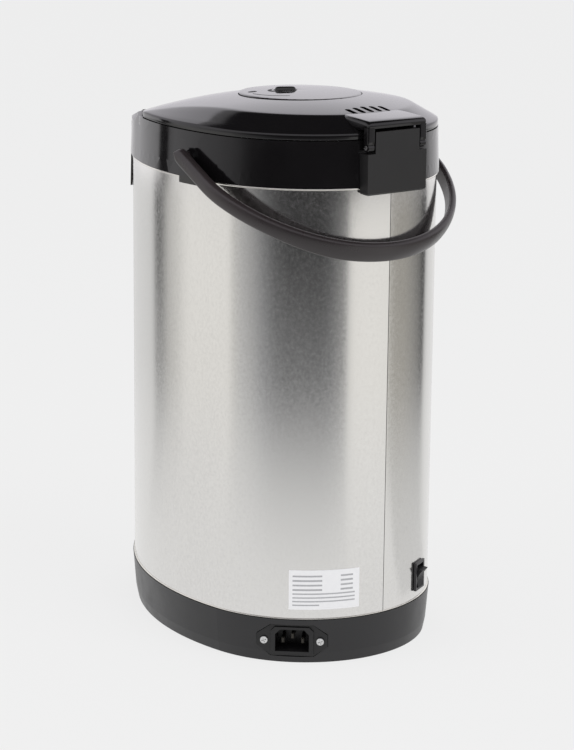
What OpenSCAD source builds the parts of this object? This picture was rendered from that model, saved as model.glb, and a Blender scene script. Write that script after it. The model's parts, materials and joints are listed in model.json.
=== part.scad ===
// Electric thermo pot with pump lid, seen as an assembly of separate pieces.
// Frame: +Z up, floor at Z = 0, hinge side towards +Y, spout towards -Y.

/* [Plan outline] */
// Radius of the rear arc of the jacket
rear_r = 91.7; // [88:0.1:95]
// Centre of the rear arc, before the whole pot is moved
rear_y = 21.5; // [15:0.5:28]
// Radius of the long flank arcs
flank_r = 204.5; // [200:0.5:210]
// Direction at which the rear arc meets the flank, degrees
rear_a = 10; // [8:1:12]
// Direction at which the flank meets the front arc, degrees
front_a = 42; // [40:1:44]

/* [Heights] */
// Top edge of the base
base_top = 33; // [31:0.5:35]
// Lower edge of the top ring
ring_bottom = 340.1; // [338:0.1:342]
// Upper edge of the top ring
ring_top = 372; // [371:0.1:372.2]
// Highest point of the lid
dome_top = 394.5; // [394.3:0.1:395]
// Radius of the lid's dome
dome_r = 395; // [388:1:402]

/* [Handle] */
// Distance of the handle's arms from the middle plane
bail_a = 102; // [101.6:0.1:103]
// Width of the handle band
bail_w = 12; // [10:0.5:13]
// Thickness of the handle band
bail_t = 6; // [5:0.5:6]
// Angle of the folded handle below the horizontal
bail_tilt = 28.1; // [26:0.1:28.2]

/* [Inlet and switch] */
// Direction of the mains inlet round the rear arc
inlet_a = 46.9; // [44:0.1:48]
// Height of the mains inlet
inlet_z = 17; // [16.5:0.1:17.5]
// Direction of the rocker switch
switch_a = 116.4; // [112:0.1:120]
// Height of the rocker switch
switch_z = 50.2; // [48:0.1:60]

/* [Inner pot] */
// Outer radius of the inner pot
pot_r = 80; // [79:0.5:82]
// Height of the inner pot's bottom
pot_z = 61; // [61:0.5:64]

/* [Pump] */
// Radius of the press plate
plate_r = 43.5; // [40:0.1:43.5]
// Centre of the press plate, towards the hinge
plate_y = 12; // [11:0.5:13]
// Turns of the pump spring
spring_n = 6; // [4:1:8]

/* [Hidden] */
$fn = 96;
// moves the pot so that the origin is the middle of its bounding box
y_shift = 25.4405;

c3x = -(flank_r - rear_r) * cos(rear_a);
c3y = rear_y - (flank_r - rear_r) * sin(rear_a);
front_r = flank_r - (flank_r - rear_r) * cos(rear_a) / cos(front_a);
front_y = c3y - (flank_r - front_r) * sin(front_a);
gauge_y = -141;
lid_r = 96.1;
lid_y = -15.4;
dome_y = 19;
head_y = -118;
pin_y = 116.4;
pin_z = 367.6;
bail_y = 9.5;
bail_z = 354.5;
bail_v = 31.4;
bail_rc = bail_a - 35;
bail_phi = 17;
bail_rb = bail_rc + 35 / cos(bail_phi);
bail_c = bail_v - 35 * tan(bail_phi);
head_bottom = 314;
nozzle_y = gauge_y - 25;
lever_y = -162.2;
pump_x = 0;
pump_y = -104;

module at() translate([0, y_shift, 0]) children();
// turns and moves children so that +X is the outward normal at direction a of the rear arc
module radial(a, z = 0) translate([0, rear_y, z]) rotate([0, 0, a]) children();
// extrudes a Y-Z drawing along X
module along_x(x0, x1) translate([x0, 0, 0]) rotate([90, 0, 90]) linear_extrude(height = x1 - x0) children();
// cylinder along X at (y, z)
module rod_x(x0, x1, y, z, r) translate([x0, y, z]) rotate([0, 90, 0]) cylinder(h = x1 - x0, r = r);
module rod_z(x, y, z0, z1, r) translate([x, y, z0]) cylinder(h = z1 - z0, r = r);
module box(a, b) translate(a) cube(b - a);

function flank_poly(e) = [
  [0, rear_y], [(rear_r + e) * cos(rear_a), rear_y + (rear_r + e) * sin(rear_a)],
  [(front_r + e) * cos(front_a), front_y - (front_r + e) * sin(front_a)], [0, front_y],
  [-(front_r + e) * cos(front_a), front_y - (front_r + e) * sin(front_a)],
  [-(rear_r + e) * cos(rear_a), rear_y + (rear_r + e) * sin(rear_a)]];
// plan outline of the pot, d outside the steel
module plan(d) {
  translate([0, rear_y]) circle(r = rear_r + d);
  translate([0, front_y]) circle(r = front_r + d);
  intersection() {
    translate([c3x, c3y]) circle(r = flank_r + d);
    translate([-c3x, c3y]) circle(r = flank_r + d);
    polygon(flank_poly(30));
  }
}
module slab(z0, z1, d) translate([0, 0, z0]) linear_extrude(height = z1 - z0) plan(d);
// the same outline, going from d0 at z0 to d1 at z1
module taper(z0, z1, d0, d1) translate([0, 0, z0]) {
  translate([0, rear_y, 0]) cylinder(h = z1 - z0, r1 = rear_r + d0, r2 = rear_r + d1);
  translate([0, front_y, 0]) cylinder(h = z1 - z0, r1 = front_r + d0, r2 = front_r + d1);
  intersection() {
    translate([c3x, c3y, 0]) cylinder(h = z1 - z0, r1 = flank_r + d0, r2 = flank_r + d1);
    translate([-c3x, c3y, 0]) cylinder(h = z1 - z0, r1 = flank_r + d0, r2 = flank_r + d1);
    linear_extrude(height = z1 - z0) polygon(flank_poly(30));
  }
}

// tube swept along points p, with n sides of radius r
function unit(v) = v / norm(v);
function tangent(p, i) = unit(p[min(i + 1, len(p) - 1)] - p[max(i - 1, 0)]);
module sweep_tube(p, r, n = 8, up = [0, 0, 1]) {
  m = len(p);
  ring = [for (i = [0:m - 1]) let (t = tangent(p, i), a = unit(cross(t, up)), b = cross(a, t))
    for (k = [0:n - 1]) p[i] + r * (cos(360 * k / n) * a + sin(360 * k / n) * b)];
  side = [for (i = [0:m - 2]) for (k = [0:n - 1]) let (q = (k + 1) % n)
    [i * n + k, i * n + q, (i + 1) * n + q, (i + 1) * n + k]];
  polyhedron(points = ring, faces = concat([[for (k = [n - 1:-1:0]) k]], side, [[for (k = [0:n - 1]) (m - 1) * n + k]]));
}
// coil spring standing on z0
module coil(x, y, z0, z1, r, wire, turns, steps = 20)
  translate([x, y, z0 + wire]) sweep_tube([for (i = [0:turns * steps]) [r * cos(360 * i / steps), r * sin(360 * i / steps),
    (z1 - z0 - 2 * wire) * i / (turns * steps)]], wire, 6);

// ---------------------------------------------------------------- base
function plate_holes() = [for (a = [20, 160]) [79 * cos(a), rear_y + 79 * sin(a)],
  for (s = [-1, 1]) [s * (c3x + (flank_r - 13) * cos(38)), c3y - (flank_r - 13) * sin(38)]];
function feet() = [[56, 66], [-56, 66], [46, -88], [-46, -88]];
// rib that joins a screw boss to the wall
module boss_ribs() {
  for (a = [20, 160]) radial(a) box([81.5, -1.2, 4.2], [88.8, 1.2, 16]);
  for (s = [0, 1]) mirror([s, 0, 0]) translate([c3x, c3y, 0]) rotate([0, 0, -38]) box([flank_r - 10.5, -1.2, 4.2], [flank_r - 2.9, 1.2, 16]);
}
function flange(e) = [[25 + e, 4.5], [14.8 + e, 11.75 + e], [-14.8 - e, 11.75 + e], [-25 - e, 4.5],
  [-25 - e, -4.5], [-14.8 - e, -11.75 - e], [14.8 + e, -11.75 - e], [25 + e, -4.5]];

module base_shell() color([0.06, 0.06, 0.065]) at() difference() {
  union() {
    difference() {
      union() { taper(0.4, 8, -2.3, -0.8); taper(8, base_top, -0.8, 1.2); }
      taper(0.3, base_top + 0.1, -4.8, -2.6);
      difference() { slab(29.2, base_top + 1, 0.15); slab(29, base_top + 2, -0.75); }
    }
    // flat pad behind the inlet
    intersection() {
      radial(inlet_a, inlet_z) box([84.4, -29, -13.2], [95, 29, 13.2]);
      taper(3, 31, -3, -1.4);
    }
    for (s = [-20, 20]) radial(inlet_a, inlet_z) rod_x(78.5, 86, s, 0, 3.8);
    boss_ribs();
    for (p = plate_holes()) rod_z(p[0], p[1], 4.2, 22, 4);
  }
  for (p = plate_holes()) rod_z(p[0], p[1], 4, 20, 1.5);
  radial(inlet_a, inlet_z) {
    along_x(87, 110) polygon(flange(0.4));
    box([60, -13.9, -9.9], [90, 13.9, 9.9]);
    for (s = [-20, 20]) rod_x(77, 90, s, 0, 1.5);
  }
}
module base_plate() color([0.1, 0.1, 0.1]) at() difference() {
  union() { slab(2, 4.2, -5.4); difference() { slab(4, 8, -5.4); slab(3.9, 8.1, -7); } }
  for (p = plate_holes()) { rod_z(p[0], p[1], 4.2, 9, 4.6); rod_z(p[0], p[1], 1, 5, 1.8); rod_z(p[0], p[1], 1, 3.2, 3.6); }
  for (a = [20, 160]) radial(a) box([70, -2, 4.2], [95, 2, 9]);
  for (s = [0, 1]) mirror([s, 0, 0]) translate([c3x, c3y, 0]) rotate([0, 0, -38]) box([flank_r - 20, -2, 4.2], [flank_r, 2, 9]);
  for (p = feet()) rod_z(p[0], p[1], 1, 5, 4);
  for (i = [-3:3]) box([i * 9 - 2, -20, 1], [i * 9 + 2, 20, 5]);
  radial(inlet_a, inlet_z) box([82.5, -30, -13.8], [100, 30, 14]);
}
module rubber_feet() color([0.12, 0.12, 0.12]) at() for (p = feet()) {
  rod_z(p[0], p[1], 0, 2, 9);
  rod_z(p[0], p[1], 1.9, 4.3, 3.95);
  rod_z(p[0], p[1], 4.2, 5.4, 5);
}
module base_screws() color([0.7, 0.7, 0.72]) at() for (p = plate_holes()) difference() {
  union() { rod_z(p[0], p[1], 2.3, 3.2, 3.2); rod_z(p[0], p[1], 3.1, 15, 1.45); }
  translate([p[0], p[1], 2.5]) { cube([3.6, 0.7, 1], center = true); cube([0.7, 3.6, 1], center = true); }
}
// ---------------------------------------------------------------- inlet and switch
module socket_shape(w, h, c) polygon([[w, -h], [w, h - c], [w - c, h], [-w + c, h], [-w, h - c], [-w, -h]]);
module inlet_body() color([0.05, 0.05, 0.05]) at() radial(inlet_a, inlet_z) difference() {
  union() {
    along_x(87, 89.7) polygon(flange(0));
    along_x(89.6, 91.2) socket_shape(15.2, 10, 3);
    box([68, -13.6, -9.6], [87.1, 13.6, 9.6]);
  }
  along_x(72, 92) socket_shape(12, 8, 3.5);
  for (s = [-20, 20]) rod_x(86, 90, s, 0, 1.75);
  for (p = [[-7, -2], [0, 2], [7, -2]]) box([67, p[0] - 1.05, p[1] - 2.05], [73, p[0] + 1.05, p[1] + 2.05]);
}
module inlet_pins() color([0.8, 0.78, 0.7]) at() radial(inlet_a, inlet_z)
  for (p = [[-7, -2, 85], [0, 2, 87], [7, -2, 85]]) {
    box([60, p[0] - 1, p[1] - 2], [p[2] - 1.2, p[0] + 1, p[1] + 2]);
    box([p[2] - 1.3, p[0] - 0.6, p[1] - 1.6], [p[2], p[0] + 0.6, p[1] + 1.6]);
  }
module inlet_screws() color([0.85, 0.85, 0.86]) at() radial(inlet_a, inlet_z) for (s = [-20, 20]) difference() {
  union() { rod_x(89.7, 91.5, s, 0, 2.6); rod_x(79.5, 89.8, s, 0, 1.45); }
  for (k = [0, 90]) translate([91.2, s, 0]) rotate([k + 20, 0, 0]) cube([1.2, 3.6, 0.8], center = true);
}
module switch_bezel() color([0.04, 0.04, 0.04]) at() radial(switch_a, switch_z) difference() {
  union() {
    box([91.75, -7.5, -10.5], [93.6, 7.5, 10.5]);
    box([76, -6.4, -9.4], [91.8, 6.4, 9.4]);
    for (s = [-4, 0, 4]) box([68, -2.4, s - 0.4], [76.1, 2.4, s + 0.4]);
  }
  box([78, -5.4, -8.5], [94, 5.4, 8.5]);
  translate([88.2, -8, 0]) rotate([-90, 0, 0]) cylinder(h = 16, r = 1.25);
}
module switch_rocker() color([0.03, 0.03, 0.03]) at() radial(switch_a, switch_z)
  translate([88.2, 0, 0]) rotate([0, 12, 0]) {
    translate([0, 5.1, 0]) rotate([90, 0, 0]) linear_extrude(height = 10.2)
      polygon([[7.9, 6.8], [6, 2.6], [5.6, 0], [6, -2.6], [7.9, -6.8], [-1.6, -6], [-1.6, 6]]);
    rotate([-90, 0, 0]) translate([0, 0, -6.2]) cylinder(h = 12.4, r = 1.2);
  }
// ---------------------------------------------------------------- jacket
module steel_jacket() color([0.75, 0.75, 0.75]) at() difference() {
  union() {
    difference() {
      slab(29.5, 346.2, 0);
      slab(29.4, 346.3, -0.6);
      box([-0.25, 100, 20], [0.25, 130, 350]);
    }
    // joint strip behind the vertical seam
    intersection() {
      difference() { slab(36, 334, -0.5); slab(35, 335, -1.2); }
      box([-7, 100, 30], [7, 130, 340]);
    }
  }
  radial(switch_a, switch_z) box([80, -6.6, -9.6], [100, 6.6, 9.6]);
  box([-22, -160, 140], [22, -140, 306]);
  box([-14, -160, 305], [14, -140, 350]);
}
module rating_label() color([0.93, 0.93, 0.93]) at() intersection() {
  difference() { slab(40.5, 69.5, 0.2); slab(40, 70, 0.02); }
  radial(61.2, 55) translate([0, 0, -20]) linear_extrude(height = 40)
    polygon([[60, -60 * tan(15.9)], [120, -120 * tan(15.9)], [120, 120 * tan(15.9)], [60, 60 * tan(15.9)]]);
}
// ---------------------------------------------------------------- top ring and hinge
// front part of the lid's outline, e larger all round
module lid_front(e, z0, z1) intersection() {
  rod_z(0, lid_y, z0, z1, lid_r + e);
  box([-100, -130, z0 - 1], [100, -75, z1 + 1]);
}
module top_ring() color([0.05, 0.05, 0.055]) at() difference() {
  union() {
    difference() {
      union() {
        taper(ring_bottom, 366, 1.6, 0.63);
        intersection() { taper(366, ring_top, 0.63, 0.4); box([-120, -75, 360], [120, 130, 380]); }
        // shoulder in front of the lid, flush with its dome
        intersection() {
          union() {
            intersection() { taper(366, 377, 0.63, -4); box([-120, -92, 360], [120, -75, 380]); }
            intersection() { taper(366, 377, 0.63, -8); box([-120, head_y - 4, 360], [120, -92, 380]); }
          }
          dome(0);
          along_x(-120, 120) polygon([[-60, 360], [-60, 378], [-92, 374.6], [head_y, 369.5], [-130, 366], [-130, 360]]);
        }
        box([-7.1, head_y, 364], [7.1, -111, 373.7]);
      }
      slab(346.5, 363.5, -2.4);
      slab(ring_bottom - 1, 346.6, -2.4);
      intersection() { slab(366.5, ring_top + 1, -2.2); box([-120, -75, 360], [120, 130, 380]); }
      difference() { slab(ring_bottom - 1, 346.5, 0.15); slab(ring_bottom - 2, 347, -0.8); }
      rod_z(0, rear_y, 360, 370, pot_r + 0.6);
      box([-120, -170, 330], [120, head_y, 380]);
      lid_front(0.5, 367, 390);
      // catch pocket
      box([-5.1, -116, 368.6], [5.1, -105, 372.2]);
    }
    // wall that closes the ring at the head
    intersection() { slab(348, 364, -1.5); box([-90, head_y, 348], [90, head_y + 2.4, 364]); }
    for (s = [-1, 1]) {
      // lug and boss for the handle
      difference() {
        intersection() { slab(335.2, 341, 1.4); box([s > 0 ? 80 : -100, -3, 334], [s > 0 ? 100 : -80, 22, 342]); }
        slab(334, 346.5, 0.2);
      }
      rod_x(s > 0 ? 88.9 : -93.2, s > 0 ? 93.2 : -88.9, bail_y, bail_z, 7.3);
      rod_x(s > 0 ? 93 : -96.4, s > 0 ? 96.4 : -93, bail_y, bail_z, 6.2);
    }
  }
  rod_x(-110, 110, bail_y, bail_z, 4.05);
}
module hinge_block() color([0.2, 0.2, 0.2]) at() difference() {
  union() {
    along_x(-26, 26) polygon([[104, 337], [117.6, 335], [119.4, 336.4], [119.4, 363.4], [104, 363.4]]);
    along_x(-19.4, 19.4) polygon([[112, 360], [119.4, 360], [119.4, 378.2], [115, 378.2], [115, 372.6], [112, 372.6]]);
  }
  taper(330, 380, 2.1, 0.25);
  rod_x(-30, -19.5, pin_y, pin_z, 3.9);
  rod_x(19.5, 30, pin_y, pin_z, 3.9);
  rod_x(-30, 30, pin_y, pin_z, 1.55);
  // rounded lower corners
  for (s = [-1, 1]) difference() {
    box([s > 0 ? 24 : -27, 100, 334], [s > 0 ? 27 : -24, 125, 337.1]);
    translate([s * 24, 100, 337.1]) rotate([-90, 0, 0]) cylinder(h = 25, r = 2);
  }
}
module hinge_pin() color([0.15, 0.15, 0.15]) at() rod_x(-25.7, 25.7, pin_y, pin_z, 1.5);
// ---------------------------------------------------------------- front head
module nose(z0, z1, e) translate([0, 0, z0]) linear_extrude(height = z1 - z0) {
  translate([0, -158.5]) circle(r = 17 + e);
  polygon([[-30 - e, -139], [30 + e, -139], [17 + e, -158.5], [-17 - e, -158.5]]);
}
module head_cover() color([0.05, 0.05, 0.055]) at() difference() {
  intersection() {
    union() { taper(head_bottom, 362, 1.9, 0.9); taper(362, 374, 0.9, -12); nose(head_bottom, 374, 0); }
    along_x(-100, 100) polygon([[head_y - 0.3, head_bottom], [head_y - 0.3, 369.55], [-191, 350.02], [-191, head_bottom]]);
  }
  // inside, over the jacket
  slab(head_bottom - 1, 347, 0.3);
  intersection() {
    union() { slab(346.9, 361, -2.4); slab(360.9, 372, -10); nose(head_bottom + 2.4, 372, -2.4); }
    along_x(-100, 100) polygon([[-100, 300], [-100, 371.97], [-191, 347.5], [-191, 300]]);
  }
  // openings for the nozzle, the buttons and the lamps
  rod_z(0, nozzle_y, 300, 320, 6.6);
  slope() { for (s = [-11, 11]) rod_z(s, 4, -6, 6, 6.4); for (s = [-7, 0, 7]) rod_z(s, -8, -6, 6, 1.7); }
}
// frame of the sloping control face
module slope() translate([0, -136, 364.8]) rotate([15.04, 0, 0]) children();
module front_panel() color([0.05, 0.05, 0.055]) at() difference() {
  intersection() {
    difference() { rod_z(0, front_y, 130, 313, front_r + 3.4); rod_z(0, front_y, 129, 314, front_r + 0.25); }
    box([-30, -170, 130], [30, -120, 313]);
  }
  box([-7, -170, 164], [7, -130, 301]);
}
module gauge_window() color([0.8, 0.85, 0.88, 0.35]) at() intersection() {
  difference() { rod_z(0, front_y, 164.3, 300.7, front_r + 2.8); rod_z(0, front_y, 160, 305, front_r + 0.6); }
  box([-6.7, -170, 160], [6.7, -120, 305]);
}
module gauge_tube() color([0.85, 0.9, 0.92, 0.35]) at() difference() { rod_z(0, gauge_y, 75, 310, 6.5); rod_z(0, gauge_y, 74, 311, 5); }
module tube_ring(r0, r1) difference() { circle(r = r1); circle(r = r0); }
module elbow_bend(y, a, r) translate([0, y, 322]) rotate([0, 0, 90]) rotate([90, 0, 0]) rotate([0, 0, a]) rotate_extrude(angle = 90) translate([12, 0]) circle(r = r);
module outlet_elbow() color([0.8, 0.8, 0.78]) at() difference() {
  union() {
    rod_z(0, gauge_y, 300, 322, 8);
    elbow_bend(gauge_y - 12, 0, 6.6);
    translate([0, gauge_y - 12, 334]) rotate([90, 0, 0]) cylinder(h = 1, r = 6.6);
    elbow_bend(gauge_y - 13, 90, 6.6);
    rod_z(0, nozzle_y, 319, 322.01, 6.6);
  }
  rod_z(0, gauge_y, 299, 312, 6.55);
  rod_z(0, gauge_y, 311, 322.01, 5.2);
  elbow_bend(gauge_y - 12, 0, 5.2);
  translate([0, gauge_y - 11.99, 334]) rotate([90, 0, 0]) cylinder(h = 1.02, r = 5.2);
  elbow_bend(gauge_y - 13, 90, 5.2);
  rod_z(0, nozzle_y, 318, 322.02, 5.2);
}
module spout_nozzle() color([0.12, 0.12, 0.12]) at() difference() {
  union() { rod_z(0, nozzle_y, 301, 318.9, 6.4); rod_z(0, nozzle_y, 318.8, 321.9, 5.1); intersection() { rod_z(0, nozzle_y, 316.6, 318.6, 8.2); box([-10, -171.4, 316], [10, -150, 319]); } rod_z(0, nozzle_y, 303, 312.5, 7.6); }
  rod_z(0, nozzle_y, 300, 327, 4.2);
}
module cup_lever() color([0.08, 0.08, 0.08]) at() difference() {
  union() {
    along_x(-12, 12) polygon([[-165.5, 298], [-163.4, 298], [-163.4, 285], [-165.8, 278.6], [-171, 275.6], [-172, 277.4], [-167.6, 280], [-165.5, 285.6]]);
    for (s = [-1, 1]) {
      along_x(s > 0 ? 8.8 : -12, s > 0 ? 12 : -8.8) polygon([[-165.5, 296], [-163.4, 296], [lever_y + 2.4, 308], [lever_y - 2.6, 308.6]]);
      rod_x(s > 0 ? 8.8 : -12, s > 0 ? 12 : -8.8, lever_y, 309, 2.8);
    }
  }
  rod_x(-15, 15, lever_y, 309, 1.55);
}
// two pins, each with the ear that hangs it under the head
module lever_pin() color([0.1, 0.1, 0.1]) at() for (s = [-1, 1]) {
  rod_x(s > 0 ? 8.7 : -14.8, s > 0 ? 14.8 : -8.7, lever_y, 309, 1.5);
  along_x(s > 0 ? 12.4 : -14.8, s > 0 ? 14.8 : -12.4) polygon([[lever_y - 3, 308], [lever_y - 1.4, 305.8], [lever_y + 1.4, 305.8], [lever_y + 3, 308], [lever_y + 3, 313.95], [lever_y - 3, 313.95]]);
}
module button(x, r) at() slope() { rod_z(x, 4, -4.7, 2, r); rod_z(x, 4, -6, -4.6, r + 1.2); rod_z(x, 4, -9, -5.9, 2); }
module dispense_button() color([0.55, 0.56, 0.58]) button(-11, 6);
module reboil_button() color([0.55, 0.56, 0.58]) button(11, 6);
module button_springs() color([0.7, 0.7, 0.7]) at() slope() for (s = [-11, 11]) coil(s, 4, -12.05, -6.05, 4.2, 0.4, 3, 16);
module indicator_lenses() color([0.9, 0.3, 0.2, 0.6]) at() slope() for (s = [-7, 0, 7]) { rod_z(s, -8, -4, 0.3, 1.6); rod_z(s, -8, -4.6, -3.3, 2.4); }
module control_board() color([0.1, 0.4, 0.2]) at() slope() {
  box([-20, -8, -13.7], [20, 13, -12.1]);
  for (s = [-11, 11]) rod_z(s, 4, -12.2, -11.3, 2);
  box([-5, 5, -12.2], [5, 11, -8.5]);
  box([-4, -5, -12.2], [4, 0, -10]);
}
// ---------------------------------------------------------------- lid
module dome(e) translate([0, dome_y, dome_top - dome_r]) sphere(r = dome_r + e, $fn = 192);
module lid_solid(d, e, z0) intersection() {
  union() { slab(z0, 377, d); taper(377, 396, d, d - 34); }
  union() { rod_z(0, lid_y, z0, 400, lid_r + (e < 0 ? -2.4 : 0)); box([-120, -60, z0], [120, 140, 400]); }
  dome(e);
}
module arm_profile() polygon([[76, 378], [76, 388.2], [96, 386.8], [117.4, 385.5], [119.4, 383.5], [119.4, 370.4], [113.6, 370.4], [113.6, 378]]);
module lid_shell() color([0.05, 0.05, 0.055]) at() difference() {
  union() {
    difference() { lid_solid(0.2, 0, 372.5); lid_solid(-2.4, -2.6, 372); }
    // front wall under the lid's edge
    intersection() {
      difference() { rod_z(0, lid_y, 367.6, 380, lid_r); rod_z(0, lid_y, 367, 381, lid_r - 2.6); }
      dome(0);
      box([-85, -125, 360], [85, -75.6, 380]);
    }
    // guide of the press plate
    difference() { rod_z(0, plate_y, 366, 392.5, plate_r + 2.5); rod_z(0, plate_y, 365, 400, plate_r + 0.5); }
    intersection() { along_x(-26, 26) arm_profile(); rod_z(0, 0, 370, 390, 126); }
    for (s = [-1, 1]) rod_x(s > 0 ? 20 : -26, s > 0 ? 26 : -20, pin_y, pin_z, 3.3);
    for (s = [-1, 1]) along_x(s > 0 ? 20 : -26, s > 0 ? 26 : -20) polygon([[pin_y - 2.6, pin_z], [pin_y - 2.6, 374], [119.4, 374], [119.6, pin_z + 0.5]]);
  }
  rod_z(0, plate_y, 365, 400, plate_r + 0.5);
  // room for the hinge block between the legs
  rod_x(-20, 20, pin_y, pin_z, 12.4);
  box([-20, pin_y - 3, 360], [20, 130, pin_z + 1]);
  rod_x(-30, 30, pin_y, pin_z, 1.55);
  // steam slots
  for (i = [-2:2]) box([i * 7.2 - 1.3, 80 + abs(i) * 1.5, 374], [i * 7.2 + 1.3, 93, 400]);
  // latch window and slot
  box([-5.1, -118, 368.9], [5.1, -105, 371.9]);
  box([-5.4, -106, 370], [5.4, -92, 385]);
}
module lid_inner_cover() color([0.7, 0.7, 0.7]) at() difference() {
  union() {
    rod_z(0, rear_y, 369.4, 371.4, pot_r - 1.2);
    rod_z(0, plate_y, 344, 370, 48);
    rod_z(0, rear_y, 364, 370, pot_r - 5.4);
  }
  rod_z(0, plate_y, 346, 372, 46.2);
  difference() { rod_z(0, rear_y, 363, 369.4, pot_r - 7.4); rod_z(0, plate_y, 362, 371, 48); }
  rod_z(0, plate_y, 343, 347, 5);
  for (a = [60:30:120]) rod_z(68 * cos(a), rear_y + 62 * sin(a), 368, 373, 2.5);
}
module lid_gasket() color([0.75, 0.75, 0.72]) at() difference() {
  union() { rod_z(0, rear_y, 365.2, 367.6, pot_r - 1.2); rod_z(0, rear_y, 363.9, 369.3, pot_r - 3.4); }
  rod_z(0, rear_y, 363, 370, pot_r - 5.3);
}
module air_valve() color([0.8, 0.8, 0.78]) at() { rod_z(0, plate_y, 340.5, 343.9, 9); rod_z(0, plate_y, 343.8, 346.1, 4.9); rod_z(0, plate_y, 346.1, 347, 6.5); }
module bellows() color([0.75, 0.75, 0.72]) at() translate([0, plate_y, 0]) rotate_extrude()
  polygon(concat([for (i = [0:16]) [i % 2 == 0 ? 33 : 39, 347.1 + i * 2]], [for (i = [16:-1:0]) [(i % 2 == 0 ? 33 : 39) - 1.4, 347.1 + i * 2]]));
module pump_spring() color([0.7, 0.7, 0.7]) at() coil(0, plate_y, 347.1, 379.5, 20, 1.1, spring_n);
module pump_plate() color([0.05, 0.05, 0.055]) at() difference() {
  union() {
    difference() {
      translate([0, plate_y, 0]) rotate_extrude() polygon(concat([[0, 376], [plate_r, 376], [plate_r, 392.2]],
        [for (i = [0:6]) let (r = (plate_r - 0.7) * (1 - i / 6), q = max(r, (plate_r - 0.7) / 6)) [r, 394.6 - q * q / 1100]]));
      rod_z(0, plate_y, 375, 391.2, plate_r - 2);
    }
    // seat of the spring, and boss of the knob
    difference() { rod_z(0, plate_y, 379.6, 391.6, 22); rod_z(0, plate_y, 379, 391.5, 18); }
    rod_z(9.5, 7, 386.6, 391.7, 5.2);
  }
  rod_z(9.5, 7, 392, 400, 8.6);
  rod_z(9.5, 7, 384, 400, 3.05);
}
module lock_knob() color([0.03, 0.03, 0.03]) at() translate([9.5, 7, 0]) {
  rod_z(0, 0, 386, 392.4, 3);
  rod_z(0, 0, 392.2, 394.9, 8.2);
  rotate([0, 0, -28]) box([-7.4, -2.2, 394.5], [7.4, 2.2, 397.2]);
}
module lid_latch() color([0.08, 0.08, 0.08]) at() {
  box([-11, -107.6, 369.2], [11, -92, 371.6]);
  box([-4.5, -114, 369.2], [4.5, -107, 371.6]);
  box([-4.6, -104, 371.5], [4.6, -97, 378.6]);
}
module latch_spring() color([0.7, 0.7, 0.7]) at() translate([0, -91.9, 370.4]) rotate([-90, 0, 0])
  coil(0, 0, 0, 6, 1.4, 0.25, 5, 10);
// ---------------------------------------------------------------- handle
module bail_area(e) {
  for (s = [-1, 1]) translate([s * 35, bail_v]) circle(r = bail_rc + e);
  intersection() {
    translate([0, bail_c]) circle(r = bail_rb + e);
    polygon([[0, bail_c], [(bail_rb + 30) * cos(bail_phi), bail_c + (bail_rb + 30) * sin(bail_phi)], [80, 200], [-80, 200],
      [-(bail_rb + 30) * cos(bail_phi), bail_c + (bail_rb + 30) * sin(bail_phi)]]);
  }
  translate([-bail_a - e, -12]) square([2 * (bail_a + e), bail_v + 12]);
}
module handle() color([0.16, 0.14, 0.14]) at() translate([0, bail_y, bail_z]) rotate([-bail_tilt, 0, 0]) {
  intersection() {
    translate([0, 0, -bail_w / 2]) linear_extrude(height = bail_w)
      difference() { bail_area(bail_t / 2); bail_area(-bail_t / 2); translate([-120, -60]) square([240, 60 - bail_w / 2]); }
    along_x(-120, 120) { circle(r = bail_w / 2); translate([0, -bail_w / 2]) square([160, bail_w]); }
  }
  for (s = [-1, 1]) rod_x(s > 0 ? 86.8 : -99.2, s > 0 ? 99.2 : -86.8, 0, 0, 4);
}
module handle_clips() color([0.6, 0.6, 0.62]) at() for (s = [-1, 1]) difference() {
  rod_x(s > 0 ? 87.4 : -88.6, s > 0 ? 88.6 : -87.4, bail_y, bail_z, 6.4);
  rod_x(-100, 100, bail_y, bail_z, 4.1);
}
// ---------------------------------------------------------------- inner pot and heating
module inner_pot() color([0.8, 0.8, 0.8]) at() difference() {
  union() { rod_z(0, rear_y, pot_z, 367.2, pot_r); rod_z(0, rear_y, 366.5, 367.3, pot_r + 3.4); rod_z(0, -40, pot_z - 8, pot_z + 1, 7); }
  rod_z(0, rear_y, pot_z + 0.8, 370, pot_r - 0.8);
  rod_z(0, -40, pot_z - 9, pot_z + 2, 5.5);
}
module pot_seal() color([0.75, 0.75, 0.72]) at() difference() {
  rod_z(0, rear_y, 367.35, 368.6, pot_r + 3.2);
  rod_z(0, rear_y, 367, 370, pot_r - 0.6);
}
module band_heater() color([0.6, 0.58, 0.5]) at() difference() {
  rod_z(0, rear_y, pot_z + 10, pot_z + 50, pot_r + 1.6);
  rod_z(0, rear_y, pot_z + 9, pot_z + 51, pot_r + 0.05);
  box([-4, -80, pot_z + 8], [4, -50, pot_z + 52]);
}
module heater_plate() color([0.55, 0.55, 0.55]) at() difference() {
  rod_z(0, rear_y + 8, pot_z - 4, pot_z - 0.05, 48);
  rod_z(0, rear_y + 8, pot_z - 5, pot_z, 9);
}
module thermostat() color([0.8, 0.8, 0.8]) at() { rod_z(0, rear_y + 8, pot_z - 8, pot_z - 0.1, 7.5); for (s = [-4, 4]) box([s - 0.4, rear_y + 5, pot_z - 15], [s + 0.4, rear_y + 11, pot_z - 7.9]); }
module thermal_fuse() color([0.85, 0.82, 0.7]) at() { rod_x(22, 36, rear_y - 12, pot_z - 6.7, 2.6); rod_x(16, 42, rear_y - 12, pot_z - 6.7, 0.5); }
module pot_bracket() color([0.65, 0.65, 0.65]) at() difference() {
  for (s = [0, 1]) mirror([s, 0, 0]) {
    box([14, 86, 4.3], [28, 88, pot_z - 0.1]);
    box([14, 68, 4.3], [28, 88, 6.3]);
    box([14, 76, pot_z - 2], [28, 88, pot_z - 0.1]);
  }
  for (s = [-21, 21]) rod_z(s, 74, 3, 12, 2);
}
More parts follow.
